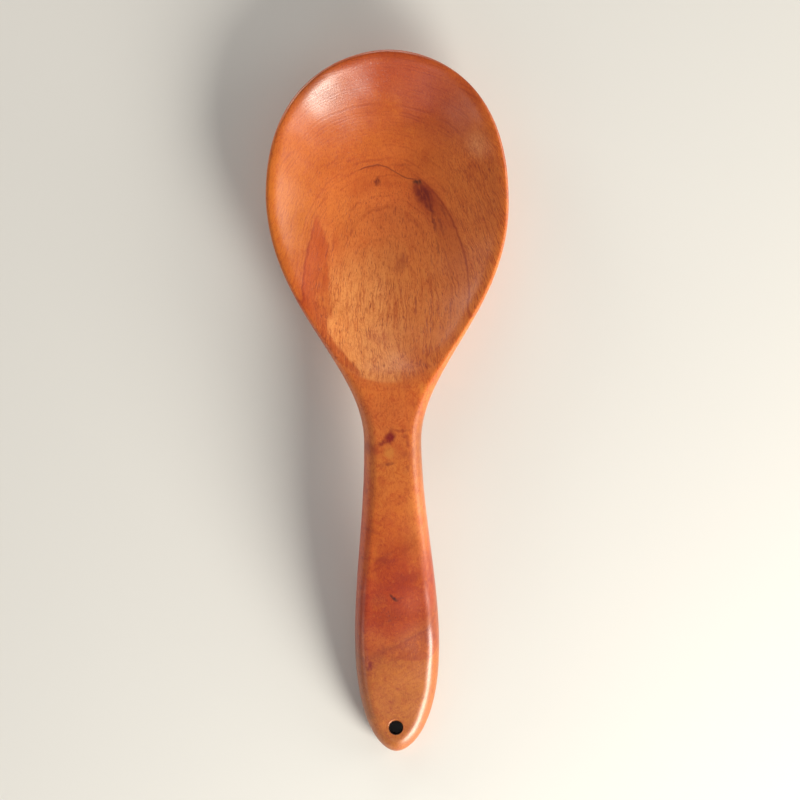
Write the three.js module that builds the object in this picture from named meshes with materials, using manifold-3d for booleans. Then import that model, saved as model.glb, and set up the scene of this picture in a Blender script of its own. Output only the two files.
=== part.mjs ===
// A hand-carved serving spoon, cut from one piece of wood: an egg-shaped hollowed bowl, a slim neck,
// and a leaf-shaped handle with a hanging hole drilled through its end.
//
// Millimetres. The spoon lies on its back on the plane z = 0, with its length along Y, the bowl's tip at +Y
// and the hollow facing up. The origin is on that plane, under the middle of the spoon's length and width.
// Places along the length are measured from the bowl's tip and are called "at".

import * as THREE from "three";
import { mergeVertices } from "three/addons/utils/BufferGeometryUtils.js";
import Module from "manifold-3d";

const LENGTH = 220;

// The outline's knots. "half" is half the width, and "lean" is how far the middle of that width strays
// sideways, because the spoon was shaped by eye. Between knots the outline is a cubic Bezier curve that
// leaves each knot along the spoon's length, for the distances "before" and "after". At the two ends it
// leaves sideways instead, for the distance "sideways".
const TIP = { at: 0, half: 0, lean: 0.8, sideways: 11.5 };
const BOWL = { at: 46, half: 38, lean: 0, before: 38.5, after: 35 };
const NECK = { at: 122.5, half: 8.95, lean: 0.6, before: 24, after: 22 };
const GRIP = { at: 185, half: 13.2, lean: 1.1, before: 20, after: 27 };
const END = { at: LENGTH, half: 0, lean: 0.4, sideways: 4.5 };
const LOWER_BOWL_LEAN = 0.9;

// Side view. Each list holds [at, value] pairs, joined by a smooth curve.
const EDGE_HEIGHT = [
  [0, 17.3], [46, 15.7], [90, 16.3], [122.5, 17.8],
  [155, 16.4], [178, 12.6], [195, 8], [208, 5.2], [220, 4.1],
];
const HALF_THICKNESS = [
  [0, 1.25], [76, 1.3], [104, 3.4], [122.5, 5.4], [160, 5.3], [190, 4.9], [210, 4.4], [220, 3.8],
];
const EDGE_ROUNDING = [[0, 1.3], [84, 1.4], [108, 3.4], [126, 4.2], [190, 4], [220, 4]];
const CROWN = [[0, 0], [96, 0], [122.5, 0.5], [220, 0.5]];

// The hollow: its deepest point, the wood left round it, and its curved lip at the neck.
const HOLLOW_DEPTH = 12.4;
const HOLLOW_DEEPEST_AT = 48;
const RIM_WIDTH = 2.2;
const LIP_AT = 104;
const LIP_RADIUS = 20;
const TIP_WALL_POWER = 2.4;
const NECK_SLOPE_POWER = 1.5;
const LIP_BLEND = 1.2;

// Close to the tip the bowl is too narrow to take its roundness from, so this place stands in for it.
const NEAR_TIP = RIM_WIDTH + 3;

// The back of the bowl: how far it bulges below the rim, and where the bulge has died away in the neck.
const BULGE = 15;
const BULGE_LOWEST_AT = 52;
const BULGE_END_AT = 122.5;
const BULGE_TIP_POWER = 2.2;

// The hanging hole.
const HOLE = { at: 212.4, x: 0.3, radius: 2.1 };

// How finely the surface is divided. Stations go round the outline and crowd together at its two ends.
// Rings run inwards: some round the edge, one where the rim's narrow land ends, and the rest evenly spaced.
// The edge's rounding and the land take up at most these shares of the way inwards.
const STATIONS = 60;
const STATION_CROWDING = 0.4;
const EDGE_RINGS = 4;
const LAND = 0.9;
const MOST_ROUNDING = 0.8;
const MOST_LAND = 0.2;
const INNER_RINGS = 8;
const RINGS = EDGE_RINGS + 1 + INNER_RINGS;
const HOLE_SIDES = 24;

// How far the ends of the middle line stay inside the outline, and the stretch over which it draws back.
const TIP_DRAW = { back: 14, over: 46 };
const END_DRAW = { back: 8, over: 35 };

const clamp = THREE.MathUtils.clamp;

// A smooth function through [at, value] pairs: a cubic Hermite curve with Catmull-Rom slopes.
function through(pairs) {
  const slope = (i) => {
    const [a, b] = [pairs[Math.max(i - 1, 0)], pairs[Math.min(i + 1, pairs.length - 1)]];
    return (b[1] - a[1]) / (b[0] - a[0]);
  };
  return (at) => {
    let i = pairs.findIndex((pair) => pair[0] >= at);
    i = i < 0 ? pairs.length - 2 : Math.max(i - 1, 0);
    const [[a, va], [b, vb]] = [pairs[i], pairs[i + 1]];
    const t = clamp((at - a) / (b - a), 0, 1);
    const s = b - a;
    return (
      va * (1 + 2 * t) * (1 - t) ** 2 +
      vb * t * t * (3 - 2 * t) +
      slope(i) * s * t * (1 - t) ** 2 -
      slope(i + 1) * s * t * t * (1 - t)
    );
  };
}

const edgeHeight = through(EDGE_HEIGHT);
const halfThickness = through(HALF_THICKNESS);
const edgeRounding = through(EDGE_ROUNDING);
const crown = through(CROWN);

// The smaller of a and b, with a rounded corner of size k where they meet.
function smoothMin(a, b, k) {
  const h = clamp(0.5 + (0.5 * (b - a)) / k, 0, 1);
  return THREE.MathUtils.lerp(b, a, h) - k * h * (1 - h);
}

// The outline as one path of (at, half, lean), shared by both sides.
function outlinePath() {
  const spot = (knot, shift = 0, half = knot.half, lean = knot.lean) => {
    return new THREE.Vector3(knot.at + shift, half, lean);
  };
  const segment = (...points) => new THREE.CubicBezierCurve3(...points);
  const path = new THREE.CurvePath();
  path.add(segment(spot(TIP), spot(TIP, 0, TIP.sideways), spot(BOWL, -BOWL.before), spot(BOWL)));
  const belowBowl = spot(BOWL, BOWL.after, BOWL.half, LOWER_BOWL_LEAN);
  const aboveNeck = spot(NECK, -NECK.before, NECK.half, LOWER_BOWL_LEAN);
  path.add(segment(spot(BOWL), belowBowl, aboveNeck, spot(NECK)));
  path.add(segment(spot(NECK), spot(NECK, NECK.after), spot(GRIP, -GRIP.before), spot(GRIP)));
  path.add(segment(spot(GRIP), spot(GRIP, GRIP.after), spot(END, 0, END.sideways), spot(END)));
  return path;
}

const path = outlinePath();
const fineOutline = path.getSpacedPoints(600);

// Half the width, and the lean, at a place along the length.
function widthAt(at) {
  const beyond = fineOutline.findIndex((p) => p.x >= at);
  const i = beyond < 0 ? fineOutline.length - 1 : Math.max(beyond, 1);
  const [a, b] = [fineOutline[i - 1], fineOutline[i]];
  const t = clamp((at - a.x) / Math.max(b.x - a.x, 1e-9), 0, 1);
  return { half: THREE.MathUtils.lerp(a.y, b.y, t), lean: THREE.MathUtils.lerp(a.z, b.z, t) };
}

// How far the hollow's middle line lies below the rim. It goes below zero past the hollow's two ends.
function hollowDepth(at) {
  const towardsTip = at < HOLLOW_DEEPEST_AT;
  const reach = towardsTip ? HOLLOW_DEEPEST_AT - RIM_WIDTH : LIP_AT - HOLLOW_DEEPEST_AT;
  const power = towardsTip ? TIP_WALL_POWER : NECK_SLOPE_POWER;
  return HOLLOW_DEPTH * (1 - (Math.abs(at - HOLLOW_DEEPEST_AT) / reach) ** power);
}

// How far the back's middle line lies below the rim's underside.
function bulgeDepth(at) {
  if (at < BULGE_LOWEST_AT) {
    return BULGE * (1 - ((BULGE_LOWEST_AT - at) / BULGE_LOWEST_AT) ** BULGE_TIP_POWER);
  }
  const t = clamp((at - BULGE_LOWEST_AT) / (BULGE_END_AT - BULGE_LOWEST_AT), 0, 1);
  return BULGE * (1 - t * t) ** 2;
}

// Heights of the upper and lower surface at a place in plan. "rounding" goes from 0 on the outline to 1
// where the edge's rounding ends.
function heights(x, at, rounding) {
  const { half, lean } = widthAt(at);
  const across = x - lean;
  const edge = edgeHeight(at);
  const thickness = halfThickness(at);
  const swell = crown(at) * (1 - clamp(across / Math.max(half, 1), -1, 1) ** 2) * rounding;

  // Across the spoon the hollow and the back are parabolas that meet the rim at both sides.
  const hollow = hollowDepth(at);
  const roundAt = Math.max(at, NEAR_TIP);
  const inside = widthAt(roundAt).half - RIM_WIDTH;
  const lipSlope = (NECK_SLOPE_POWER * HOLLOW_DEPTH) / (LIP_AT - HOLLOW_DEEPEST_AT);
  const steepness = Math.max(hollowDepth(roundAt) / inside ** 2, lipSlope / (2 * LIP_RADIUS));
  const hollowFloor = edge + thickness - hollow + steepness * across ** 2;

  const fullness = bulgeDepth(Math.max(at, 1)) / widthAt(Math.max(at, 1)).half ** 2;
  const back = Math.max(bulgeDepth(at) - fullness * across ** 2, 0);
  return {
    top: smoothMin(edge + thickness * rounding + swell, hollowFloor, LIP_BLEND),
    bottom: edge - thickness * rounding - swell - back * rounding,
  };
}

// The middle line's place opposite an outline place: the same place, drawn back from the two ends.
function middleAt(at) {
  const fromEnd = LENGTH - at;
  const tipShare = Math.max(1 - at / TIP_DRAW.over, 0);
  const endShare = Math.max(1 - fromEnd / END_DRAW.over, 0);
  return at + TIP_DRAW.back * tipShare ** 2 - END_DRAW.back * endShare ** 2;
}

// One row of points from the outline in to the middle line, on both surfaces.
function row(station, side) {
  const { spot, tangent } = station;
  const start = new THREE.Vector2(spot.z + side * spot.y, spot.x);
  const at = middleAt(spot.x);
  const stop = new THREE.Vector2(widthAt(at).lean, at);
  const inward = new THREE.Vector2(-side * tangent.x, tangent.y + side * tangent.z).normalize();
  const reach = stop.clone().sub(start).dot(inward);
  const radius = Math.min(edgeRounding(spot.x), MOST_ROUNDING * reach);
  const land = Math.min(LAND, MOST_LAND * (reach - radius));
  const points = { upper: [], lower: [] };
  for (let i = 0; i <= RINGS; i++) {
    const turn = (Math.min(i / EDGE_RINGS, 1) * Math.PI) / 2;
    const landed = i > EDGE_RINGS ? land : 0;
    const inner = Math.max(i - EDGE_RINGS - 1, 0) / INNER_RINGS;
    const depth = radius * (1 - Math.cos(turn)) + landed + (reach - radius - land) * inner;
    const plan = start.clone().lerp(stop, depth / reach);
    const { top, bottom } = heights(plan.x, plan.y, Math.sin(turn));
    points.upper.push(new THREE.Vector3(plan.x, LENGTH / 2 - plan.y, top));
    points.lower.push(new THREE.Vector3(plan.x, LENGTH / 2 - plan.y, i === 0 ? top : bottom));
  }
  return points;
}

// The carved blank as a closed geometry, made of rows that run inwards from points spaced round the outline.
function carvedGeometry() {
  const stations = Array.from({ length: STATIONS + 1 }, (_, i) => {
    const share = i / STATIONS;
    const u = share - (STATION_CROWDING * Math.sin(2 * Math.PI * share)) / (2 * Math.PI);
    return { spot: path.getPointAt(u), tangent: path.getTangentAt(u) };
  });
  const right = stations.map((station) => row(station, 1));
  const left = stations.slice(1, -1).map((station) => row(station, -1));
  const rows = [...right, ...left.reverse()];
  const positions = [];
  const triangle = (...corners) => corners.forEach((p) => positions.push(p.x, p.y, p.z));
  rows.forEach((here, i) => {
    const next = rows[(i + 1) % rows.length];
    for (let j = 0; j < RINGS; j++) {
      const [a, b, c, d] = [here.upper[j], here.upper[j + 1], next.upper[j + 1], next.upper[j]];
      triangle(a, b, c);
      triangle(a, c, d);
      const [e, f, g, h] = [here.lower[j], here.lower[j + 1], next.lower[j + 1], next.lower[j]];
      triangle(e, g, f);
      triangle(e, h, g);
    }
  });
  const geometry = new THREE.BufferGeometry();
  geometry.setAttribute("position", new THREE.Float32BufferAttribute(positions, 3));
  return geometry;
}

const wasm = await Module();
wasm.setup();

// A closed three.js geometry as a solid.
function solidOf(geometry) {
  const bare = geometry.clone();
  bare.deleteAttribute("normal");
  bare.deleteAttribute("uv");
  const merged = mergeVertices(bare, 1e-4);
  const triangles = [];
  for (let i = 0; i < merged.index.count; i += 3) {
    const [a, b, c] = [0, 1, 2].map((k) => merged.index.getX(i + k));
    if (a !== b && b !== c && a !== c) triangles.push(a, b, c);
  }
  return new wasm.Manifold(
    new wasm.Mesh({
      numProp: 3,
      vertProperties: new Float32Array(merged.attributes.position.array),
      triVerts: new Uint32Array(triangles),
    }),
  );
}

// A solid as a three.js geometry.
function geometryOf(solid) {
  const { vertProperties, triVerts } = solid.getMesh();
  const geometry = new THREE.BufferGeometry();
  geometry.setAttribute("position", new THREE.BufferAttribute(vertProperties, 3));
  geometry.setIndex(new THREE.BufferAttribute(triVerts, 1));
  geometry.computeVertexNormals();
  return geometry;
}

// The drill that makes the hanging hole, standing upright through the handle's end.
function drill() {
  const geometry = new THREE.CylinderGeometry(HOLE.radius, HOLE.radius, 40, HOLE_SIDES);
  geometry.rotateX(Math.PI / 2);
  return geometry.translate(HOLE.x, LENGTH / 2 - HOLE.at, 0);
}

// The sanding block that leaves small flats under the bowl and under the handle's end.
function sandingBlock() {
  return new THREE.BoxGeometry(200, 2 * LENGTH, 20).translate(0, 0, -10);
}

function spoon() {
  const blank = solidOf(carvedGeometry());
  const shaped = blank.subtract(solidOf(sandingBlock())).subtract(solidOf(drill()));
  const wood = new THREE.MeshStandardMaterial({ color: 0xc8683a, roughness: 0.35, metalness: 0 });
  const mesh = new THREE.Mesh(geometryOf(shaped), wood);
  mesh.name = "spoon";
  return mesh;
}

const group = new THREE.Group();
group.add(spoon());
export default group;
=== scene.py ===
"""A hand-carved serving spoon of one piece of reddish orange-brown hardwood, oiled and polished.

The CAD node gives the size and place. This script makes a finer surface of the same shape, with the marks of
hand carving, and a wood that runs through the whole solid: growth layers, pores along the fibres, knots and
cracks. Shape and figure are worked out in millimetres, in the CAD frame, and "at" is the distance from the
bowl's tip along the spoon.
"""

import math

import bmesh
import bpy
import numpy as np
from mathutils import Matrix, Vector


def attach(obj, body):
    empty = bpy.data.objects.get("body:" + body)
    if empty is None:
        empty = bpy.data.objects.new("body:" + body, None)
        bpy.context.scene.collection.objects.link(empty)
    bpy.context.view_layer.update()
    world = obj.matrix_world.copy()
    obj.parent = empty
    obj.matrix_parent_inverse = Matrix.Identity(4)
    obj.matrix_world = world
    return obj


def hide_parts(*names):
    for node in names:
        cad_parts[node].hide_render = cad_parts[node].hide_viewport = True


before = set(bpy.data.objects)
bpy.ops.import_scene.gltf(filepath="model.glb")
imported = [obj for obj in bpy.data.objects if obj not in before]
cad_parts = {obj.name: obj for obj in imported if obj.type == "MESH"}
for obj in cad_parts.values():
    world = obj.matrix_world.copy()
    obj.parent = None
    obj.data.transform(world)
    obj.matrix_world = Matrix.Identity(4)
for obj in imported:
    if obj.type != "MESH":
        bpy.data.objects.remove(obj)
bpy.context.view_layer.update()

MM = 0.001
LENGTH = 220.0

# The outline: knots of (at, half width, lean sideways), joined by cubic curves. The pulls say how far each
# curve runs straight on from its knot.
TIP, TIP_PULL = (0.0, 0.0, 0.8), 11.5
BOWL, BOWL_BEFORE, BOWL_AFTER = (46.0, 38.0, 0.0), 38.5, 35.0
NECK, NECK_BEFORE, NECK_AFTER = (122.5, 8.95, 0.6), 24.0, 22.0
GRIP, GRIP_BEFORE, GRIP_AFTER = (185.0, 13.2, 1.1), 20.0, 27.0
END, END_PULL = (LENGTH, 0.0, 0.4), 4.5
LOWER_BOWL_LEAN = 0.9

# Side view, as (at, value) stations: the height of the edge's middle, half the thickness there, how far the
# edge's rounding reaches inwards, and how much both surfaces swell towards the middle line.
EDGE_HEIGHT = [(0, 17.3), (46, 15.7), (90, 16.3), (122.5, 17.8), (155, 16.4), (178, 12.6), (195, 8),
               (208, 5.2), (220, 4.1)]
HALF_THICKNESS = [(0, 1.25), (76, 1.3), (104, 3.4), (122.5, 5.4), (160, 5.3), (190, 4.9), (210, 4.4),
                  (220, 3.8)]
EDGE_ROUNDING = [(0, 1.3), (84, 1.4), (108, 3.4), (126, 4.2), (190, 4), (220, 4)]
CROWN = [(0, 0), (96, 0), (122.5, 0.5), (220, 0.5)]

# The hollow and the back of the bowl. The hollow ends at the neck in a lip, which is curved in plan.
HOLLOW_DEPTH, HOLLOW_DEEPEST_AT = 12.4, 48.0
RIM_WIDTH = 2.2
LIP_AT, LIP_RADIUS, LIP_BLEND = 104.0, 20.0, 1.2
TIP_WALL_POWER, NECK_SLOPE_POWER = 2.4, 1.5
BULGE, BULGE_LOWEST_AT, BULGE_END_AT, BULGE_TIP_POWER = 15.0, 52.0, 122.5, 2.2

# Close to the tip the bowl is too narrow to take its roundness from, so these places stand in for it.
NEAR_TIP, NEAR_BACK_TIP = RIM_WIDTH + 3, 1

# The hanging hole.
HOLE_AT, HOLE_X, HOLE_RADIUS = 212.4, 0.3, 2.1
DRILL_SIDES = 64

# The fine surface has stations along each side of the outline, crowded towards the tip and the end. Rings
# run in from there to the middle line, over the edge's rounding, a narrow land and the rest. The rounding
# takes at most a share of the way, and the land a share of what is left. Near the tip and the end, the way
# inwards is drawn along the spoon, so that it doesn't get too short.
OUTLINE_STEPS = 1500
STATIONS = 380
STATION_CROWDING = 0.4
EDGE_RINGS, LAND_RINGS, INNER_RINGS = 10, 5, 40
LAND = 1.6
MOST_ROUNDING, MOST_LAND = 0.8, 0.2
TIP_DRAW, TIP_DRAW_OVER = 14.0, 46.0
END_DRAW, END_DRAW_OVER = 8.0, 35.0

# Hand work: waves left by the knife, and the soft borders of the flats that the spoon rests on.
KNIFE_WAVE, KNIFE_WAVES = 0.07, 14
SHORTEST_WAVE, LONGEST_WAVE = 9, 30
UPPER_SEED, LOWER_SEED = 3, 8
FLAT_BLEND = 0.25
SHARP_EDGE = math.radians(50)

# The finish: how rough the oiled surface is, the thin coat on it, and how deep its tooth and pores are.
BOWL_ROUGHNESS, HANDLE_ROUGHNESS = 0.26, 0.33
WORN_END_ROUGHNESS, UNEVEN_ROUGHNESS, PORE_ROUGHNESS = 0.16, 0.12, 0.2
COAT, COAT_ROUGHNESS = 0.55, 0.29
RELIEF_DEPTH = 0.12


def through(stations, at):
    """A smooth curve through (at, value) stations: cubic Hermite with Catmull-Rom slopes."""
    x, v = np.array(stations, float).T
    last = len(x) - 1
    i = np.clip(np.searchsorted(x, at, side="left") - 1, 0, last - 1)
    slope = np.array([(v[min(k + 1, last)] - v[max(k - 1, 0)]) / (x[min(k + 1, last)] - x[max(k - 1, 0)])
                      for k in range(last + 1)])
    span = x[i + 1] - x[i]
    t = np.clip((at - x[i]) / span, 0, 1)
    return (v[i] * (1 + 2 * t) * (1 - t) ** 2 + v[i + 1] * t * t * (3 - 2 * t)
            + span * t * (1 - t) * (slope[i] * (1 - t) - slope[i + 1] * t))


def bezier(points, t):
    """Points along a cubic Bezier curve."""
    p = np.array(points, float)
    t = t[:, None]
    return (1 - t) ** 3 * p[0] + 3 * t * (1 - t) ** 2 * p[1] + 3 * t * t * (1 - t) * p[2] + t ** 3 * p[3]


def shifted(knot, along, lean=None, half=None):
    """A copy of a knot moved along the spoon, with another lean or half width where one is given."""
    return (knot[0] + along, knot[1] if half is None else half, knot[2] if lean is None else lean)


def dense_outline():
    """Points of (at, half, lean) from tip to end, much closer together than the stations."""
    t = np.linspace(0, 1, OUTLINE_STEPS)[:-1]
    curves = [
        (TIP, shifted(TIP, 0, half=TIP_PULL), shifted(BOWL, -BOWL_BEFORE), BOWL),
        (BOWL, shifted(BOWL, BOWL_AFTER, LOWER_BOWL_LEAN),
         shifted(NECK, -NECK_BEFORE, LOWER_BOWL_LEAN), NECK),
        (NECK, shifted(NECK, NECK_AFTER), shifted(GRIP, -GRIP_BEFORE), GRIP),
        (GRIP, shifted(GRIP, GRIP_AFTER), shifted(END, 0, half=END_PULL), END),
    ]
    return np.vstack([bezier(c, t) for c in curves] + [np.array([END])])


OUTLINE = dense_outline()


def half_width(at):
    """Half the outline's width."""
    return np.interp(at, OUTLINE[:, 0], OUTLINE[:, 1])


def lean(at):
    """How far the middle of the outline strays sideways."""
    return np.interp(at, OUTLINE[:, 0], OUTLINE[:, 2])


def smooth_min(a, b, k):
    """The smaller of a and b, with a rounded corner of size k where they meet."""
    h = np.clip(0.5 + 0.5 * (b - a) / k, 0, 1)
    return b + (a - b) * h - k * h * (1 - h)


def hollow_depth(at):
    """Depth of the hollow's middle line below the rim."""
    towards_tip = at < HOLLOW_DEEPEST_AT
    reach = np.where(towards_tip, HOLLOW_DEEPEST_AT - RIM_WIDTH, LIP_AT - HOLLOW_DEEPEST_AT)
    power = np.where(towards_tip, TIP_WALL_POWER, NECK_SLOPE_POWER)
    return HOLLOW_DEPTH * (1 - (np.abs(at - HOLLOW_DEEPEST_AT) / reach) ** power)


def bulge_depth(at):
    """How far the back of the bowl bulges below its edge, along the middle line."""
    tip_side = 1 - (np.clip(BULGE_LOWEST_AT - at, 0, None) / BULGE_LOWEST_AT) ** BULGE_TIP_POWER
    t = np.clip((at - BULGE_LOWEST_AT) / (BULGE_END_AT - BULGE_LOWEST_AT), 0, 1)
    return BULGE * np.where(at < BULGE_LOWEST_AT, tip_side, (1 - t * t) ** 2)


def knife_waves(x, at, seed):
    """Shallow, uneven hollows left by the knife and smoothed by sanding."""
    rng = np.random.default_rng(seed)
    wave = np.zeros_like(x)
    for _ in range(KNIFE_WAVES):
        heading = rng.uniform(0, math.pi)
        wavelength = rng.uniform(SHORTEST_WAVE, LONGEST_WAVE)
        phase = rng.uniform(0, 2 * math.pi)
        wave += np.sin((x * math.cos(heading) + at * math.sin(heading)) * 2 * math.pi / wavelength + phase)
    return KNIFE_WAVE * wave / math.sqrt(KNIFE_WAVES / 2)


def heights(x, at, rounding):
    """Heights of the upper and the lower surface. rounding is 0 on the outline and 1 where the edge ends."""
    half, middle = half_width(at), lean(at)
    across = x - middle
    edge, thickness = through(EDGE_HEIGHT, at), through(HALF_THICKNESS, at)
    swell = through(CROWN, at) * (1 - np.clip(across / np.maximum(half, 1), -1, 1) ** 2) * rounding

    depth = hollow_depth(at)
    inner_at = np.maximum(at, NEAR_TIP)
    inside = half_width(inner_at) - RIM_WIDTH
    lip_slope = NECK_SLOPE_POWER * HOLLOW_DEPTH / (LIP_AT - HOLLOW_DEEPEST_AT)
    steepness = np.maximum(hollow_depth(inner_at) / inside ** 2, lip_slope / (2 * LIP_RADIUS))
    hollow = edge + thickness - depth + steepness * across ** 2

    near_at = np.clip(at, NEAR_BACK_TIP, BULGE_END_AT)
    fullness = bulge_depth(near_at) / half_width(near_at) ** 2
    back = np.maximum(bulge_depth(at) - fullness * across ** 2, 0)
    top = smooth_min(edge + thickness * rounding + swell, hollow, LIP_BLEND)
    bottom = edge - (thickness + back) * rounding - swell
    top = top + knife_waves(x, at, UPPER_SEED) * rounding

    # The back is sanded flat where it would sink below the table.
    bottom = bottom + knife_waves(x, at, LOWER_SEED) * rounding
    bottom = -smooth_min(-bottom, np.zeros_like(bottom), FLAT_BLEND)
    return top, bottom


def spoon_rows():
    """Plan places and heights: arrays of (row, ring), going once round the outline."""
    steps = np.linalg.norm(np.diff(OUTLINE, axis=0), axis=1)
    travelled = np.concatenate([[0], np.cumsum(steps)])
    share = np.linspace(0, 1, STATIONS + 1)
    wanted = (share - STATION_CROWDING * np.sin(2 * math.pi * share) / (2 * math.pi)) * travelled[-1]
    at, half, middle = (np.interp(wanted, travelled, OUTLINE[:, k]) for k in range(3))
    stop_at = (at + TIP_DRAW * np.clip(1 - at / TIP_DRAW_OVER, 0, None) ** 2
               - END_DRAW * np.clip(1 - (LENGTH - at) / END_DRAW_OVER, 0, None) ** 2)

    # The right side goes from tip to end, and the left side back again.
    back = slice(-2, 0, -1)
    start_at, stop = np.concatenate([at, at[back]]), np.concatenate([stop_at, stop_at[back]])
    start_x = np.concatenate([middle + half, (middle - half)[back]])
    stop_x = lean(stop)

    ring = np.gradient(start_x), np.gradient(start_at)
    norm = np.hypot(*ring)
    inward = -ring[1] / norm, ring[0] / norm
    reach = np.abs((stop_x - start_x) * inward[0] + (stop - start_at) * inward[1])
    radius = np.minimum(through(EDGE_ROUNDING, start_at), MOST_ROUNDING * reach)
    land = np.minimum(LAND, MOST_LAND * (reach - radius))

    turn = np.linspace(0, math.pi / 2, EDGE_RINGS + 1)
    rounding = np.concatenate([np.sin(turn), np.ones(LAND_RINGS + INNER_RINGS)])
    landed = np.linspace(0, 1, LAND_RINGS + 1)[1:]
    inner = np.linspace(0, 1, INNER_RINGS + 1)[1:]
    depth = np.hstack([
        radius[:, None] * (1 - np.cos(turn)),
        (radius[:, None] + land[:, None] * landed),
        (radius + land)[:, None] + (reach - radius - land)[:, None] * inner,
    ])
    part = depth / reach[:, None]
    x = start_x[:, None] + (stop_x - start_x)[:, None] * part
    where = start_at[:, None] + (stop - start_at)[:, None] * part
    top, bottom = heights(x, where, np.broadcast_to(rounding, x.shape))
    return x, where, top, bottom


def spoon_mesh():
    """The whole surface as quads: an upper and a lower sheet that share the outline."""
    x, at, top, bottom = spoon_rows()
    rows, rings = x.shape
    y = LENGTH / 2 - at
    upper = np.stack([x, y, top], axis=-1)
    lower = np.stack([x, y, bottom], axis=-1)

    # The outline ring is shared by both surfaces, and the middle line by both sides of each surface.
    points = np.concatenate([upper.reshape(-1, 3), lower[:, 1:].reshape(-1, 3)]) * MM
    up = np.arange(rows * rings).reshape(rows, rings)
    low = np.hstack([up[:, :1], rows * rings + np.arange(rows * (rings - 1)).reshape(rows, rings - 1)])
    mirror = (-np.arange(rows)) % rows
    half = rows // 2
    for sheet in (up, low):
        sheet[half + 1:, -1] = sheet[mirror[half + 1:], -1]

    faces = []
    for sheet, flip in ((up, False), (low, True)):
        here, following = sheet, np.roll(sheet, -1, axis=0)
        corners = [here[:, :-1], here[:, 1:], following[:, 1:], following[:, :-1]]
        quads = np.stack(corners, axis=-1).reshape(-1, 4)
        faces.append(quads[:, ::-1] if flip else quads)
    used = np.unique(np.concatenate(faces))
    renumber = np.full(len(points), -1)
    renumber[used] = np.arange(len(used))
    mesh = bpy.data.meshes.new("spoon_wood")
    mesh.from_pydata(points[used].tolist(), [], renumber[np.concatenate(faces)].tolist())
    mesh.update()
    return mesh


def drill_mesh():
    """A drill bit as a cutter: a round shank that flares a little where it meets each surface."""
    edge, thickness = through(EDGE_HEIGHT, HOLE_AT), through(HALF_THICKNESS, HOLE_AT)
    low, high = float(edge - thickness), float(edge + thickness)

    # The cutter's outline as (height, radius), from below the handle to above it.
    lower_flare = [(-8, 3.4), (low - 0.6, 3.0), (low + 0.1, 2.35), (low + 0.55, HOLE_RADIUS)]
    upper_flare = [(high - 0.1, HOLE_RADIUS), (high + 0.4, 2.35), (high + 1.1, 3.0), (20, 3.4)]
    angles = [2 * math.pi * k / DRILL_SIDES for k in range(DRILL_SIDES)]
    bm = bmesh.new()
    loops = []
    for z, radius in lower_flare + upper_flare:
        ring = [Vector((HOLE_X + radius * math.cos(a), LENGTH / 2 - HOLE_AT + radius * math.sin(a), z)) * MM
                for a in angles]
        loops.append([bm.verts.new(p) for p in ring])
    for below, above in zip(loops, loops[1:]):
        for k in range(DRILL_SIDES):
            n = (k + 1) % DRILL_SIDES
            bm.faces.new((below[k], below[n], above[n], above[k]))
    bm.faces.new(loops[0][::-1])
    bm.faces.new(loops[-1])
    mesh = bpy.data.meshes.new("drill")
    bm.to_mesh(mesh)
    bm.free()
    return mesh


def make_spoon():
    """The spoon's surface with the hanging hole drilled through it."""
    spoon = bpy.data.objects.new("spoon_wood", spoon_mesh())
    drill = bpy.data.objects.new("drill", drill_mesh())
    for piece in (spoon, drill):
        bpy.context.scene.collection.objects.link(piece)
    cut = spoon.modifiers.new("hole", "BOOLEAN")
    cut.operation = "DIFFERENCE"
    cut.solver = "EXACT"
    cut.object = drill
    bpy.context.view_layer.update()
    drilled = bpy.data.meshes.new_from_object(spoon.evaluated_get(bpy.context.evaluated_depsgraph_get()))
    spoon.modifiers.clear()
    spoon.data = drilled
    bpy.data.objects.remove(drill)
    drilled.polygons.foreach_set("use_smooth", [True] * len(drilled.polygons))
    drilled.set_sharp_from_angle(angle=SHARP_EDGE)
    return spoon


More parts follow.
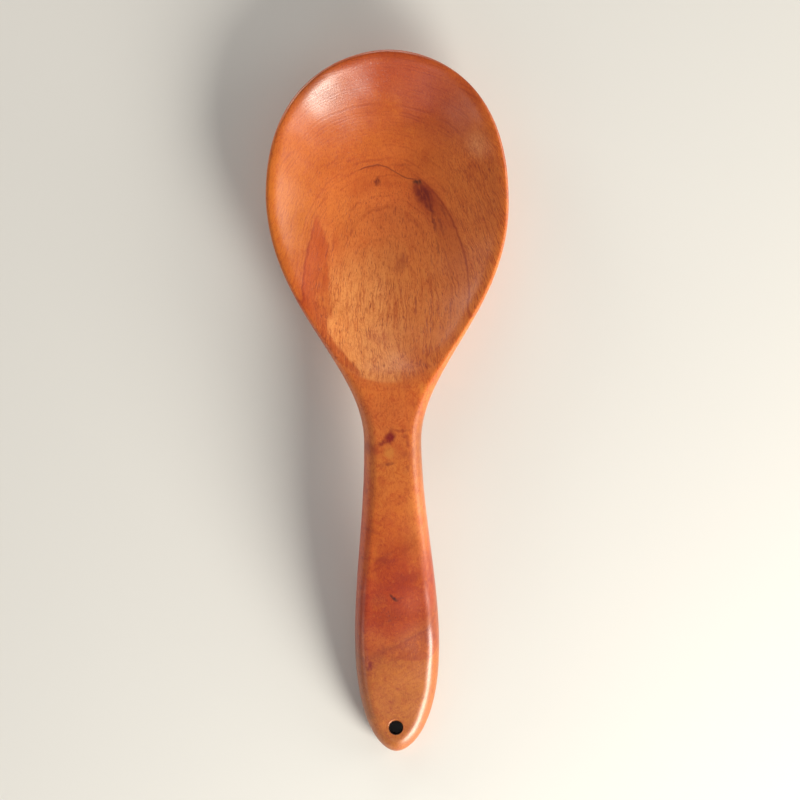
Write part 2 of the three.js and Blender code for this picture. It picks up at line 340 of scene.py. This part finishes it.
class Graph:
    """Adds shader nodes and links them, so that a material reads as a sum of what it is made of."""

    def __init__(self, material):
        material.use_nodes = True
        self.tree = material.node_tree
        self.tree.nodes.clear()

    def node(self, kind, feeds=(), **settings):
        """A new node. Each feed is either another node's output, which is linked, or a plain value."""
        made = self.tree.nodes.new("ShaderNode" + kind)
        for name, value in settings.items():
            setattr(made, name, value)
        for key, value in dict(feeds).items():
            if isinstance(value, bpy.types.NodeSocket):
                self.tree.links.new(value, made.inputs[key])
            else:
                made.inputs[key].default_value = value
        return made

    def math(self, operation, *values):
        return self.node("Math", enumerate(values), operation=operation).outputs[0]

    def chain(self, operation, values):
        """The first value joined with the second, the result with the third, and so on."""
        total = values[0]
        for value in values[1:]:
            total = self.math(operation, total, value)
        return total

    def add(self, *values):
        return self.chain("ADD", values)

    def times(self, *values):
        return self.chain("MULTIPLY", values)

    def largest(self, *values):
        return self.chain("MAXIMUM", values)

    def vector(self, operation, *values):
        return self.node("VectorMath", enumerate(values), operation=operation).outputs["Vector"]

    def scaled(self, vector, factor):
        return self.node("VectorMath", {0: vector, "Scale": factor}, operation="SCALE").outputs["Vector"]

    def length(self, vector):
        return self.node("VectorMath", {0: vector}, operation="LENGTH").outputs["Value"]

    def ease(self, value, low, high, start=0.0, stop=1.0):
        """Goes smoothly from start to stop as value goes from low to high."""
        feeds = {"Value": value, "From Min": low, "From Max": high, "To Min": start, "To Max": stop}
        return self.node("MapRange", feeds, interpolation_type="SMOOTHSTEP").outputs["Result"]

    def noise(self, vector, size, detail=2.0, roughness=0.5):
        """Noise from about 0 to 1, with lumps about size across in the vector's own units."""
        feeds = {"Vector": vector, "Scale": 1 / size, "Detail": detail, "Roughness": roughness}
        return self.node("TexNoise", feeds).outputs["Fac"]

    def sway(self, vector, size, detail, reach):
        """Noise that strays about 0, by up to half of reach either way."""
        return self.times(self.add(self.noise(vector, size, detail), -0.5), reach)

    def within(self, value, low, high, soft):
        """1 where value is between low and high, with edges twice soft wide."""
        rise = self.ease(value, low - soft, low + soft)
        return self.times(rise, self.ease(value, high - soft, high + soft, 1.0, 0.0))

    def ramp(self, value, stops):
        """A colour ramp with stops of (value, colour), over their own range."""
        low, high = stops[0][0], stops[-1][0]
        share = self.node("MapRange", {"Value": value, "From Min": low, "From Max": high}).outputs["Result"]
        made = self.node("ValToRGB", {"Fac": share})
        elements = made.color_ramp.elements
        elements[0].position, elements[0].color = 0, (*stops[0][1], 1)
        elements[1].position, elements[1].color = 1, (*stops[-1][1], 1)
        for at, colour in stops[1:-1]:
            elements.new((at - low) / (high - low)).color = (*colour, 1)
        return made.outputs["Color"]

    def mix(self, share, first, second, blend="MIX"):
        """The first colour, blended towards the second by share."""
        feeds = {0: share}
        for key, colour in ((6, first), (7, second)):
            feeds[key] = colour if isinstance(colour, bpy.types.NodeSocket) else (*colour, 1)
        return self.node("Mix", feeds, data_type="RGBA", blend_type=blend).outputs[2]


# The growth layers fall towards the tip by LAYER_FALL for each millimetre, and the fibres lie along them.
# They also fall a little to the right, are slightly cupped with the middle highest, and twist in the handle.
# The edges of patches and marks stray by up to half of RAGGEDNESS either way.
LAYER_FALL = 0.2965
LAYER_TILT = 0.0288
LAYER_CUP = 0.00114
HANDLE_TWIST = -0.34
RAGGEDNESS = 1.8
ARCH_LAYER = 26.7
STRIPE_LAYER = -6.9
WEDGE_LAYER = -9.0

# Colours of the growth layers, from the lowest layer, at the handle's end, to the highest, at the bowl's tip.
LAYERS = [
    (-26, (0.390, 0.112, 0.010)),
    (-12, (0.400, 0.108, 0.009)),
    (-8, (0.340, 0.080, 0.007)),
    (-4, (0.355, 0.047, 0.003)),
    (-1, (0.350, 0.041, 0.001)),
    (3, (0.355, 0.036, 0.001)),
    (6, (0.375, 0.046, 0.002)),
    (8, (0.380, 0.052, 0.003)),
    (12, (0.500, 0.106, 0.010)),
    (18, (0.575, 0.155, 0.022)),
    (20, (0.630, 0.162, 0.026)),
    (21, (0.640, 0.152, 0.024)),
    (23.5, (0.640, 0.132, 0.018)),
    (26, (0.610, 0.126, 0.015)),
    (30, (0.540, 0.118, 0.010)),
    (50, (0.540, 0.120, 0.011)),
]

# Broad, soft changes of colour: (centre, size across, along and deep, turn in radians, share, colour). A
# positive turn leans the long way of the oval to the left at its upper end.
REGIONS = [
    # The bowl.
    ((-31, 60, 12), (34, 66, 60), 0.10, 0.90, (0.590, 0.160, 0.012)),
    ((-13, 60, 8), (34, 34, 60), 0.0, 0.75, (0.700, 0.205, 0.032)),
    ((26, 44, 12), (56, 104, 60), 0.10, 0.95, (0.740, 0.202, 0.034)),
    ((2, 106, 14), (84, 62, 60), 0.0, 0.95, (0.390, 0.052, 0.003)),
    # Painted shade: a darker patch on the bowl's upper left, where the window's highlight falls, so that the
    # highlight looks paler.
    ((-22, 98, 14), (28, 26, 60), -0.6, 0.75, (0.300, 0.062, 0.008)),
    ((20, 92, 12), (42, 36, 60), 0.6, 0.60, (0.300, 0.030, 0.002)),
    # A painted highlight: a lighter patch on the bowl's right wall, where a faint speckled sheen falls.
    ((28.5, 80, 14), (11, 14, 30), 0.2, 0.70, (0.640, 0.240, 0.080)),
    ((-4, 56, 4), (44, 40, 40), 0.0, 0.50, (0.780, 0.210, 0.045)),
    ((0, 80, 8), (44, 15, 40), 0.0, 0.50, (0.660, 0.150, 0.024)),
    ((12, 22, 9), (48, 78, 40), 0.2, 0.90, (0.830, 0.255, 0.050)),
    # The neck and the handle.
    ((-10, -38, 18), (13, 80, 60), -0.03, 0.85, (0.560, 0.072, 0.002)),
    ((9, -33, 18), (17, 52, 60), -0.03, 0.85, (0.660, 0.205, 0.040)),
    # Painted shade: the right side of the neck, which faces the side lights, is made darker.
    ((10, -14, 17), (12, 44, 40), 0.0, 0.90, (0.330, 0.095, 0.012)),
    ((-4.7, -62, 17), (8.0, 7.0, 20), 0.0, 0.60, (0.430, 0.090, 0.012)),
    ((-5.1, -54.5, 18), (7.0, 7.0, 20), 0.0, 0.35, (0.480, 0.090, 0.008)),
    ((-6.0, -75, 15), (12, 11, 60), -0.4, 0.60, (0.440, 0.105, 0.014)),
    # Painted shade: darker along the left edge of the handle's end.
    ((-10.5, -88, 10), (9, 44, 60), -0.15, 0.60, (0.360, 0.070, 0.005)),
    ((10.4, 8.0, 19), (7.0, 5.0, 20), 0.0, 0.45, (0.460, 0.065, 0.006)),
]

# Knots, cracks and small marks, listed the same way.
MARKS = [
    # The knot on the right of the bowl, and the streaks that trail down from it.
    ((12.2, 64.2, 6), (9.0, 17.0, 14), 0.58, 0.80, (0.330, 0.034, 0.004)),
    ((11.4, 65.2, 6), (6.4, 13.0, 14), 0.60, 0.92, (0.165, 0.009, 0.002)),
    ((9.6, 68.9, 6), (4.2, 2.2, 12), -0.30, 0.85, (0.060, 0.012, 0.003)),
    ((13.6, 60.4, 6), (2.2, 7.0, 12), 0.50, 0.85, (0.190, 0.016, 0.003)),
    ((14.6, 55.8, 7), (1.5, 8.5, 12), 0.22, 0.80, (0.220, 0.026, 0.005)),
    ((16.6, 55.0, 7), (1.3, 10.0, 12), 0.28, 0.60, (0.250, 0.032, 0.006)),
    ((17.2, 60.5, 7), (1.5, 9.0, 12), 0.42, 0.60, (0.260, 0.032, 0.006)),
    ((15.6, 48.0, 8), (1.3, 8.0, 12), 0.10, 0.55, (0.260, 0.034, 0.006)),
    # The dot left of it, with a redder patch, and faint spots above and below.
    ((-3.1, 69.3, 5), (2.6, 4.2, 8), -0.2, 1.00, (0.200, 0.020, 0.002)),
    ((-8.5, 67.5, 5), (12.0, 9.0, 12), 0.1, 0.45, (0.480, 0.066, 0.005)),
    ((5.4, 74.3, 5), (7.5, 1.0, 8), 0.05, 0.50, (0.300, 0.040, 0.008)),
    ((4.2, 43.5, 7), (5.4, 9.5, 12), -0.2, 0.45, (0.320, 0.044, 0.007)),
    # The knot in the neck, the curly wood round it, and a bright patch above it.
    ((2.3, -14.9, 23), (9.5, 12.5, 16), 0.0, 0.45, (0.370, 0.058, 0.008)),
    ((-7.0, -14.0, 21), (6.0, 6.5, 12), 0.0, 0.60, (0.280, 0.036, 0.006)),
    ((-4.6, -15.4, 22), (3.8, 4.6, 12), 0.0, 0.60, (0.340, 0.030, 0.006)),
    ((-0.3, -11.3, 23), (4.6, 6.2, 14), -0.60, 1.00, (0.195, 0.003, 0.002)),
    ((-2.8, -13.0, 23), (4.4, 2.8, 12), 0.50, 0.85, (0.200, 0.007, 0.002)),
    ((0.2, -8.9, 23), (2.0, 3.4, 12), -0.30, 0.65, (0.260, 0.022, 0.004)),
    ((-0.5, -15.9, 23), (4.2, 6.8, 12), 0.05, 0.85, (0.560, 0.190, 0.030)),
    ((-0.5, -19.3, 23), (5.4, 1.6, 12), 0.10, 0.70, (0.200, 0.026, 0.005)),
    ((3.4, -9.0, 23), (8.5, 1.6, 12), 0.0, 0.60, (0.270, 0.028, 0.005)),
    ((4.6, -10.9, 23), (3.6, 2.4, 12), -0.4, 0.55, (0.260, 0.026, 0.005)),
    ((5.5, -13.0, 22), (2.4, 4.0, 12), 0.2, 0.60, (0.250, 0.024, 0.005)),
    ((4.4, -16.4, 22), (3.4, 3.4, 12), 0.0, 0.45, (0.270, 0.030, 0.005)),
    ((5.9, -17.6, 22), (1.7, 7.0, 12), -0.1, 0.50, (0.270, 0.030, 0.005)),
    ((5.0, -21.0, 22), (2.2, 6.0, 12), -0.25, 0.50, (0.280, 0.034, 0.006)),
    ((-3.0, -20.0, 23), (3.4, 2.6, 12), -0.5, 0.45, (0.290, 0.036, 0.006)),
    ((10.2, 3.8, 20), (3.4, 5.4, 12), 0.20, 0.50, (0.700, 0.240, 0.030)),
    # The dark nick in the grip, and the stains round it.
    ((0.16, -61.5, 19.5), (1.6, 5.2, 12), 0.85, 1.00, (0.060, 0.002, 0.001)),
    ((2.6, -61.5, 19.5), (5.0, 1.2, 12), 0.35, 0.65, (0.220, 0.022, 0.004)),
    ((4.8, -55.0, 20), (12.0, 7.0, 14), 0.10, 0.30, (0.240, 0.022, 0.002)),
    ((-6.2, -40.4, 21), (8.0, 2.0, 12), -0.28, 0.55, (0.270, 0.030, 0.004)),
    ((-3.6, -49.3, 21), (6.5, 2.8, 12), 0.10, 0.75, (0.250, 0.022, 0.002)),
    ((-0.6, -47.4, 21), (5.5, 1.5, 12), 0.50, 0.50, (0.270, 0.030, 0.004)),
    ((-9.2, -48.7, 19), (3.4, 2.0, 12), 0.0, 0.65, (0.300, 0.020, 0.002)),
    ((-9.6, -57.7, 17), (3.2, 2.3, 12), 0.0, 0.70, (0.280, 0.016, 0.002)),
    ((-9.7, -62.6, 16), (3.4, 6.5, 12), 0.0, 0.60, (0.290, 0.020, 0.002)),
    ((-1.0, -67.0, 18), (9.0, 7.0, 12), 0.20, 0.40, (0.260, 0.026, 0.003)),
    # The dark spot on the left edge, and thin dashes across the grip.
    ((-7.5, -82.7, 12.5), (2.4, 4.8, 12), -0.20, 1.00, (0.150, 0.003, 0.001)),
    ((1.1, -83.0, 14), (5.0, 1.1, 12), 0.0, 0.50, (0.260, 0.045, 0.006)),
    ((3.7, -85.2, 13), (2.4, 1.1, 12), -0.4, 0.50, (0.260, 0.045, 0.006)),
]


def darker(g, colour, share, tint):
    """The colour multiplied by a tint, by share."""
    return g.mix(share, colour, tint, "MULTIPLY")


class Place:
    """Where a point of the wood lies: its axes in millimetres, its growth layer and its fibre frame."""

    def __init__(self, g):
        self.g = g
        self.point = g.scaled(g.node("TexCoord").outputs["Object"], 1 / MM)
        self.x, self.y, self.z = g.node("SeparateXYZ", {0: self.point}).outputs
        self.x_squared = g.times(self.x, self.x)

        wander = g.sway(self.point, 18, 1, 1.2)
        ripple = g.sway(self.point, 3.5, 2, 0.7)
        fall, tilt = g.times(self.y, LAYER_FALL), g.times(self.x, LAYER_TILT)
        self.up = g.add(self.z, fall, tilt, g.times(self.x_squared, LAYER_CUP), wander, ripple)
        self.layer = g.add(self.up, g.times(self.x, g.ease(self.y, -60.0, 10.0, HANDLE_TWIST, 0.0)))
        growth = {"W": self.layer, "Scale": 1.9, "Detail": 3.0}
        self.lines = g.node("TexNoise", growth, noise_dimensions="1D").outputs["Fac"]

        self.along = g.add(self.y, g.times(self.z, -LAYER_FALL))
        waves = g.add(g.times(g.noise(self.point, 14, 2), 3.0), g.times(g.noise(self.point, 4, 2), 1.5))
        self.across = g.add(g.times(self.x, g.ease(self.y, 25.0, 85.0, 1.0, 1.6)), waves)

        # Past the hollow's curved lip the wood is burnished by the hand.
        lip_curve = g.times(self.x_squared, 1 / (2 * LIP_RADIUS))
        past_lip = g.add(lip_curve, g.times(self.y, -1.0), LENGTH / 2 - LIP_AT)
        self.burnished = g.ease(past_lip, -0.8, 0.8)
        self.inside = g.ease(past_lip, 0.8, -0.8)
        self.hollow = g.times(self.inside, g.ease(self.layer, 27.0, 24.0))
        self.low_bowl = g.times(self.hollow, g.ease(self.y, 50.0, 34.0))

        jitter = g.node("TexNoise", {"Vector": self.point, "Scale": 0.6, "Detail": 1.5}).outputs["Color"]
        shake = g.scaled(g.vector("SUBTRACT", jitter, (0.5, 0.5, 0.5)), RAGGEDNESS)
        self.shaken = g.vector("ADD", self.point, shake)

    def fibres(self, width, length):
        """Coordinates that run width millimetres to the unit across the fibres, and length along them."""
        g = self.g
        feeds = {0: g.times(self.across, 1 / width), 1: g.times(self.along, 1 / length),
                 2: g.times(self.up, 1 / width)}
        return g.node("CombineXYZ", feeds).outputs[0]

    def distance(self, centre, size, turn=0.0):
        """0 at the centre of an oval of that size, turned about Z, and 1 on its ragged edge."""
        g = self.g
        feeds = {"Vector": g.vector("SUBTRACT", self.shaken, centre), "Angle": -turn}
        turned = g.node("VectorRotate", feeds, rotation_type="Z_AXIS").outputs["Vector"]
        return g.length(g.vector("DIVIDE", turned, tuple(extent / 2 for extent in size)))

    def oval(self, centre, size, turn=0.0, core=0.3):
        """1 at the heart of an oval, fading to 0 at its edge."""
        return self.g.ease(self.distance(centre, size, turn), core, 1.0, 1.0, 0.0)


def bowl_figure(g, wood, colour):
    """The arch in the bowl, where the hollow cuts one growth layer, and what borders on it."""
    x, y, layer = wood.x, wood.y, wood.layer
    right = g.ease(x, 6.0, 14.0)
    stripe = g.within(layer, ARCH_LAYER - 3.2, ARCH_LAYER, 0.7)
    colour = darker(g, colour, g.times(stripe, right, g.ease(y, 22.0, 60.0, 0.0, 0.75)), (0.76, 0.58, 0.48))

    # The sapwood on the slope towards the neck is pale, as far as a wavy edge near the middle.
    wander = g.sway(wood.fibres(5, 20), 1, 3, 15.0)
    top = g.add(y, g.times(wander, -1.2))
    pale = g.times(g.ease(g.add(x, wander), 9.0, -6.0), g.ease(top, 56.0, 30.0), wood.hollow)
    colour = g.mix(g.times(pale, 0.86), colour, (0.900, 0.355, 0.100))

    # A redder tongue, narrowing upwards, lies between the arch's left foot and the sapwood.
    side = g.add(x, g.times(g.noise(wood.point, 8, 3), 5.0), g.ease(y, 46.0, 64.0, -0.7, 3.0),
                 g.ease(y, 24.0, 8.0, 0.0, -9.0))
    tongue = g.times(g.ease(layer, ARCH_LAYER + 0.15, ARCH_LAYER - 0.15), g.ease(side, -16.2, -18.0),
                     g.ease(y, 66.0, 60.0), wood.inside)
    colour = g.mix(g.times(tongue, 0.75), colour, (0.500, 0.070, 0.002))

    left = g.times(g.ease(x, -14.0, -20.0), g.ease(y, 61.0, 52.0))
    line = g.within(layer, ARCH_LAYER - 0.20, ARCH_LAYER + 0.10, 0.16)
    reach = g.largest(g.times(right, g.ease(y, 16.0, 30.0)), g.times(left, g.ease(y, 24.0, 34.0), 0.7))
    colour = darker(g, colour, g.times(line, reach, 0.85), (0.58, 0.31, 0.20))
    outside = g.times(g.ease(layer, ARCH_LAYER, ARCH_LAYER + 0.6), g.ease(x, 12.0, 24.0),
                      g.ease(y, 92.0, 74.0))
    return colour, outside


def handle_figure(g, wood, colour):
    """A dark diagonal line across the grip, with a wedge of darker wood under it."""
    x, y, layer = wood.x, wood.y, wood.layer
    grip = g.ease(y, -50.0, -64.0)
    above_end = g.ease(wood.up, WEDGE_LAYER - 0.5, WEDGE_LAYER)
    wedge = g.times(g.ease(layer, STRIPE_LAYER + 0.3, STRIPE_LAYER - 0.3), above_end)
    colour = darker(g, colour, g.times(wedge, grip, g.ease(x, -7.0, 2.0)), (0.86, 0.60, 0.44))
    line = g.within(layer, STRIPE_LAYER - 0.30, STRIPE_LAYER + 0.15, 0.5)
    return darker(g, colour, g.times(line, grip, g.ease(x, -9.0, 0.0, 0.55, 0.75)), (0.68, 0.46, 0.38))


def hairline_crack(g, wood):
    """The crack along the top of the arch, which drops towards the knot on the right."""
    left_part = g.math("MINIMUM", g.add(wood.x, 1.5), 0.0)
    hump = g.times(left_part, left_part, -0.029)
    drop = g.ease(wood.x, -3.0, 8.0, 0.0, -4.6)
    jag = g.sway(wood.point, 2.5, 2, 1.0)
    off = g.math("ABSOLUTE", g.add(wood.y, g.times(g.add(hump, drop, jag, 74.6), -1.0)))
    return g.times(g.ease(off, 0.38, 0.06), wood.oval((0.4, 72.0, 5), (21, 14, 9), 0.0, 0.75))


def grain(g, wood, colour, outside):
    """Growth lines, clouds, and streaks and veins along the fibres."""
    broken = g.ease(g.noise(wood.point, 6, 3), 0.36, 0.62)
    high = g.ease(wood.y, 20.0, 70.0, 0.5, 1.0)
    colour = darker(g, colour, g.times(g.ease(wood.lines, 0.5, 0.68), broken, high, 0.62), (0.76, 0.58, 0.48))

    clouds = g.noise(wood.point, 9, 4, 0.6)
    colour = darker(g, colour, g.ease(clouds, 0.5, 0.75, 0.0, 0.6), (0.84, 0.66, 0.52))
    colour = g.mix(g.ease(clouds, 0.45, 0.25, 0.0, 0.35), colour, (0.660, 0.176, 0.020))

    clear = g.largest(wood.low_bowl, outside, 0.35)
    streaks = g.noise(wood.fibres(0.75, 11), 1, 4, 0.68)
    colour = darker(g, colour, g.times(g.ease(streaks, 0.48, 0.68), clear, 0.65), (0.76, 0.56, 0.44))
    colour = g.mix(g.times(g.ease(streaks, 0.46, 0.3), clear, 0.5), colour, (0.700, 0.230, 0.046))
    off_vein = g.math("ABSOLUTE", g.add(g.noise(wood.fibres(2.2, 26), 1, 3, 0.6), -0.5))
    veins = g.times(g.ease(off_vein, 0.035, 0.0), clear)
    colour = darker(g, colour, g.times(veins, 0.75), (0.68, 0.43, 0.31))

    # Past the lip the fibres wave, so that the wood looks blotched.
    blots = g.noise(wood.point, 6, 4, 0.65)
    blotched = g.times(g.ease(wood.y, 0.0, -30.0, 0.25, 1.0), g.ease(wood.y, -74.0, -84.0, 1.0, 0.35))
    colour = darker(g, colour, g.times(g.ease(blots, 0.5, 0.68), blotched, 0.75), (0.82, 0.58, 0.44))
    return g.mix(g.times(g.ease(blots, 0.44, 0.28), blotched, 0.4), colour, (0.540, 0.138, 0.014))


def curls(g, wood):
    """Short curly strokes: contour lines of a noise, broken up by another."""
    feeds = {"Vector": wood.point, "Scale": 0.36, "Detail": 2.0, "Roughness": 0.5, "Distortion": 1.6}
    off = g.math("ABSOLUTE", g.add(g.node("TexNoise", feeds).outputs["Fac"], -0.5))
    broken = g.ease(g.noise(wood.point, 2.6, 2), 0.36, 0.60)
    calm = g.times(g.ease(wood.x, 2.0, 6.0), g.ease(wood.y, -22.0, -30.0), -0.5)
    strength = g.add(g.ease(wood.burnished, 0.0, 1.0, 0.5, 1.0), calm)
    return g.times(g.ease(off, 0.09, 0.0), broken, strength)


def pore_strokes(g, wood, outside):
    """Pores: dark strokes along the fibres, which show as dots where the surface cuts across them."""
    pores = 0.0
    for width, length, least in ((0.42, 4.0, 0.30), (0.60, 8.0, 0.60)):
        cells = g.node("TexVoronoi", {"Vector": wood.fibres(width, length), "Scale": 1.0})
        random = g.node("SeparateXYZ", {0: cells.outputs["Color"]}).outputs[0]
        stroke = g.times(g.ease(cells.outputs["Distance"], 0.38, 0.12), g.ease(random, least, least + 0.4))
        pores = g.largest(pores, stroke)
    patches = g.ease(g.noise(wood.point, 12, 2), 0.35, 0.65, 0.15, 0.6)
    crowding = g.largest(wood.hollow, outside, patches)
    pores = g.times(pores, crowding, g.ease(wood.burnished, 0.0, 1.0, 1.0, 0.35))

    # A cluster of end-grain dots under the crack in the grip.
    dots = g.node("TexVoronoi", {"Vector": wood.point, "Scale": 1.0}).outputs["Distance"]
    cluster = g.times(g.ease(dots, 0.38, 0.14), wood.oval((-1.0, -67.0, 18), (10, 8, 16), 0.0, 0.2))
    return g.times(g.largest(pores, cluster), g.ease(wood.low_bowl, 0.0, 1.0, 1.0, 0.9))


def wood_colour(g, wood):
    """The wood's colour, with painted shade and a painted highlight in places, and how much of it is pore and
    crack.
    """
    colour = g.ramp(wood.layer, LAYERS)
    for centre, size, turn, share, tint in REGIONS:
        colour = g.mix(g.times(wood.oval(centre, size, turn, 0.0), share), colour, tint)
    colour = g.mix(g.times(wood.burnished, g.ease(wood.y, -6.0, 4.0), 0.8), colour, (0.690, 0.166, 0.021))
    colour, outside = bowl_figure(g, wood, colour)
    colour = handle_figure(g, wood, colour)
    colour = grain(g, wood, colour, outside)
    colour = darker(g, colour, curls(g, wood), (0.87, 0.66, 0.55))
    speckle = g.noise(wood.fibres(0.45, 1.1), 1, 2, 0.6)
    colour = darker(g, colour, g.ease(speckle, 0.5, 0.68, 0.0, 0.7), (0.78, 0.56, 0.42))
    pores = pore_strokes(g, wood, outside)
    colour = darker(g, colour, g.times(pores, 0.9), (0.54, 0.29, 0.19))
    crack = hairline_crack(g, wood)
    colour = g.mix(g.times(crack, 0.75), colour, (0.240, 0.034, 0.005))
    mottle = g.ease(g.noise(wood.fibres(0.9, 4.5), 1, 3, 0.6), 0.34, 0.56, 0.5, 1.0)
    for centre, size, turn, share, tint in MARKS:
        colour = g.mix(g.times(wood.oval(centre, size, turn, 0.2), mottle, share), colour, tint)

    # The drilled hole is painted dark: painted shade inside the hole.
    from_hole = g.vector("SUBTRACT", wood.point, (HOLE_X, LENGTH / 2 - HOLE_AT, 0))
    from_axis = g.length(g.vector("MULTIPLY", from_hole, (1, 1, 0)))
    colour = g.mix(g.ease(from_axis, HOLE_RADIUS + 0.35, HOLE_RADIUS + 0.05), colour, (0.030, 0.008, 0.004))
    return colour, pores, crack


def oiled_hardwood():
    """The spoon's only material: the wood through the whole solid, and its oiled surface."""
    material = bpy.data.materials.new("oiled_hardwood")
    g = Graph(material)
    wood = Place(g)
    colour, pores, crack = wood_colour(g, wood)

    # The surface: oiled and rubbed, with open pores and a fine tooth.
    uneven = g.times(g.noise(wood.point, 3, 3), UNEVEN_ROUGHNESS)
    worn = g.ease(wood.y, -78.0, -98.0, 0.0, WORN_END_ROUGHNESS)
    rubbed = g.ease(wood.burnished, 0.0, 1.0, BOWL_ROUGHNESS, HANDLE_ROUGHNESS)
    roughness = g.add(rubbed, worn, g.times(pores, PORE_ROUGHNESS), uneven)
    tooth = g.noise(wood.fibres(0.35, 1.6), 1, 3, 0.6)
    grooves = g.noise(wood.fibres(0.9, 14), 1, 3, 0.6)
    relief = g.add(g.times(tooth, 0.25), g.times(grooves, 0.3), g.times(wood.lines, 0.5),
                   g.times(pores, -0.5), g.times(crack, -0.6))
    bump = g.node("Bump", {"Height": relief, "Strength": 0.5, "Distance": RELIEF_DEPTH * MM})
    feeds = {"Base Color": colour, "Roughness": roughness, "Normal": bump.outputs["Normal"],
             "Specular IOR Level": 0.5, "Coat Weight": COAT, "Coat Roughness": COAT_ROUGHNESS}
    bsdf = g.node("BsdfPrincipled", feeds)
    g.node("OutputMaterial", {"Surface": bsdf.outputs[0]})
    return material


def floor():
    """A plain pale floor under the spoon, as wide as the lights reach."""
    size = 3.0
    mesh = bpy.data.meshes.new("floor")
    corners = [(-size, -size, 0), (size, -size, 0), (size, size, 0), (-size, size, 0)]
    mesh.from_pydata(corners, [], [(0, 1, 2, 3)])
    made = bpy.data.objects.new("floor", mesh)
    bpy.context.scene.collection.objects.link(made)
    pale = bpy.data.materials.new("pale_floor")
    g = Graph(pale)
    bsdf = g.node("BsdfPrincipled", {"Base Color": (0.72, 0.71, 0.69, 1), "Roughness": 0.7})
    g.node("OutputMaterial", {"Surface": bsdf.outputs[0]})
    mesh.materials.append(pale)


def area_light(name, azimuth, elevation, distance, size, power, colour):
    """A soft round light that faces the spoon, with angles in degrees. Azimuth turns from +X towards +Y."""
    light = bpy.data.lights.new(name, "AREA")
    light.shape = "DISK"
    light.size = size
    light.energy = power
    light.color = colour
    lamp = bpy.data.objects.new(name, light)
    bpy.context.scene.collection.objects.link(lamp)
    turn, rise = math.radians(azimuth), math.radians(elevation)
    heading = Vector((math.cos(turn) * math.cos(rise), math.sin(turn) * math.cos(rise), math.sin(rise)))
    lamp.location = heading * distance
    lamp.rotation_euler = heading.to_track_quat("Z", "Y").to_euler()


def studio():
    """One big soft window, warm fills round the rest, a faint cool glint, and an even pale sky."""
    warm, cool = (1.0, 0.95, 0.86), (0.72, 0.82, 1.0)
    area_light("window", -50, 22, 0.85, 0.44, 13.3, (1.0, 0.96, 0.86))
    area_light("side_fill", 8, 15, 1.2, 0.8, 5.4, warm)
    area_light("back_fill", 136, 11, 1.2, 0.6, 5.2, warm)
    area_light("top_fill", 88, 17, 1.2, 0.7, 5.2, warm)
    area_light("left_fill", -146, 24, 1.2, 0.5, 1.1, warm)
    area_light("front_glint", -113, 39, 0.9, 0.24, 0.24, cool)
    world = bpy.data.worlds.new("studio")
    world.use_nodes = True
    sky = world.node_tree.nodes["Background"].inputs
    sky["Color"].default_value = (1.0, 0.98, 0.96, 1)
    sky["Strength"].default_value = 0.21
    bpy.context.scene.world = world
    bpy.context.scene.view_settings.view_transform = "Standard"


def camera():
    """Looks straight down from far away. field is the width seen at the height of the rim.

    The spoon lies a little off the middle of the picture, and turned by less than a degree.
    """
    lens, sensor, field, rim_height = 250.0, 36.0, 0.2500, 0.017
    middle_x, middle_y, turn = 0.0031, 0.00045, math.radians(-0.84)
    data = bpy.data.cameras.new("camera")
    data.lens, data.sensor_width = lens, sensor
    data.clip_start, data.clip_end = 0.05, 20
    made = bpy.data.objects.new("camera", data)
    bpy.context.scene.collection.objects.link(made)
    made.location = (middle_x, middle_y, rim_height + field * lens / sensor)
    made.rotation_euler = (0, 0, turn)
    bpy.context.scene.camera = made


spoon = make_spoon()
spoon.data.materials.clear()
spoon.data.materials.append(oiled_hardwood())
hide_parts("spoon")
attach(spoon, "root")
floor()
studio()
camera()
